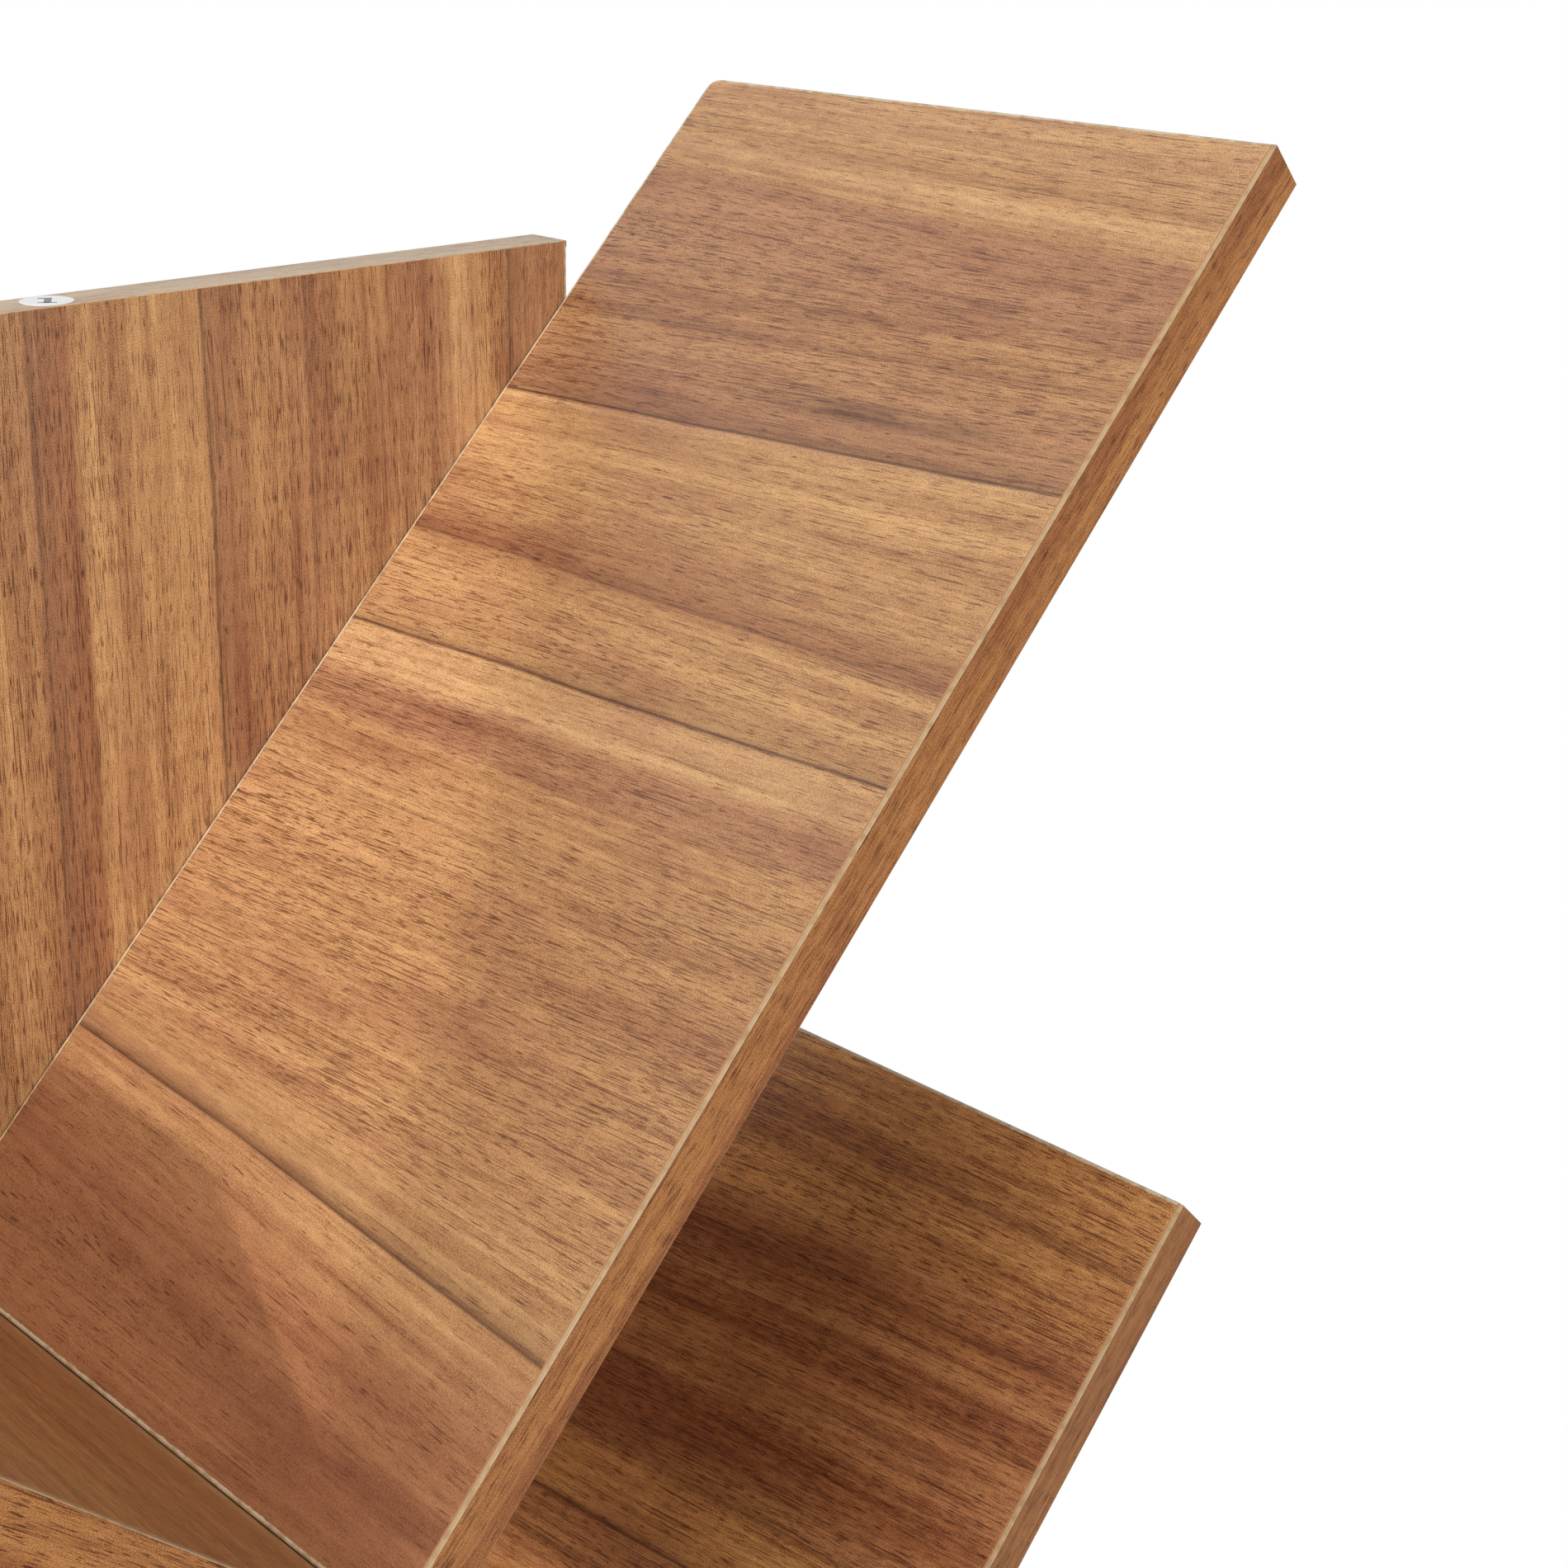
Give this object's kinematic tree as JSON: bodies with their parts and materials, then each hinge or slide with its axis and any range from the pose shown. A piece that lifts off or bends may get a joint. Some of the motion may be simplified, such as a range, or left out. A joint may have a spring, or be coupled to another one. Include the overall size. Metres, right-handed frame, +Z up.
{
  "type": "tree bookshelf",
  "caption": "Free-standing tree bookshelf with V-shaped sloping shelves screwed to a tall back panel, over a low plinth.",
  "frame": {"origin": "on the floor, under the middle of the bookshelf's width and depth", "axes": "+X to the right seen from the front, +Y to the back panel, +Z up"},
  "size_m": [0.5864, 0.215, 1.2997],
  "materials": {
    "walnut_melamine": "semi-gloss walnut-look melamine on particleboard",
    "walnut_edge_band": "satin wood-look plastic edge band",
    "pale_edge_band": "satin pale wood-look plastic edge band",
    "zinc_plated_steel": "zinc-plated panel screw",
    "beech": "bare beech dowel",
    "dark_plastic": "dark moulded plastic glide"
  },
  "bodies": {
    "root": {"back_panel": "walnut_melamine", "base_board": "walnut_melamine", "kick_board": "walnut_melamine", "plinth_side_left": "walnut_melamine", "plinth_side_right": "walnut_melamine", "left_shelf_1": "walnut_melamine", "right_shelf_1": "walnut_melamine", "left_shelf_2": "walnut_melamine", "right_shelf_2": "walnut_melamine", "left_shelf_3": "walnut_melamine", "right_shelf_3": "walnut_melamine", "left_shelf_4": "walnut_melamine", "right_shelf_4": "walnut_melamine", "base_band": "walnut_edge_band", "left_shelf_band_1": "walnut_edge_band", "right_shelf_band_1": "walnut_edge_band", "left_shelf_band_2": "walnut_edge_band", "right_shelf_band_2": "walnut_edge_band", "left_shelf_band_3": "walnut_edge_band", "right_shelf_band_3": "walnut_edge_band", "left_shelf_band_4": "walnut_edge_band", "right_shelf_band_4": "walnut_edge_band", "panel_top_band": "pale_edge_band", "left_shelf_screw_1_inner": "zinc_plated_steel", "left_shelf_screw_1_outer": "zinc_plated_steel", "right_shelf_screw_1_inner": "zinc_plated_steel", "right_shelf_screw_1_outer": "zinc_plated_steel", "left_shelf_screw_2_inner": "zinc_plated_steel", "left_shelf_screw_2_outer": "zinc_plated_steel", "right_shelf_screw_2_inner": "zinc_plated_steel", "right_shelf_screw_2_outer": "zinc_plated_steel", "left_shelf_screw_3_inner": "zinc_plated_steel", "left_shelf_screw_3_outer": "zinc_plated_steel", "right_shelf_screw_3_inner": "zinc_plated_steel", "right_shelf_screw_3_outer": "zinc_plated_steel", "left_shelf_screw_4_inner": "zinc_plated_steel", "left_shelf_screw_4_outer": "zinc_plated_steel", "right_shelf_screw_4_inner": "zinc_plated_steel", "right_shelf_screw_4_outer": "zinc_plated_steel", "corner_screw_1_front": "zinc_plated_steel", "corner_screw_1_rear": "zinc_plated_steel", "corner_screw_2_front": "zinc_plated_steel", "corner_screw_2_rear": "zinc_plated_steel", "corner_screw_3_front": "zinc_plated_steel", "corner_screw_3_rear": "zinc_plated_steel", "corner_screw_4_front": "zinc_plated_steel", "corner_screw_4_rear": "zinc_plated_steel", "base_screw_left": "zinc_plated_steel", "base_screw_right": "zinc_plated_steel", "plinth_screw_left": "zinc_plated_steel", "plinth_screw_right": "zinc_plated_steel", "base_dowel_left": "beech", "base_dowel_right": "beech", "kick_dowel_left": "beech", "kick_dowel_right": "beech", "glide_front_left": "dark_plastic", "glide_front_right": "dark_plastic", "glide_rear_left": "dark_plastic", "glide_rear_right": "dark_plastic"}
  },
  "joints": []
}
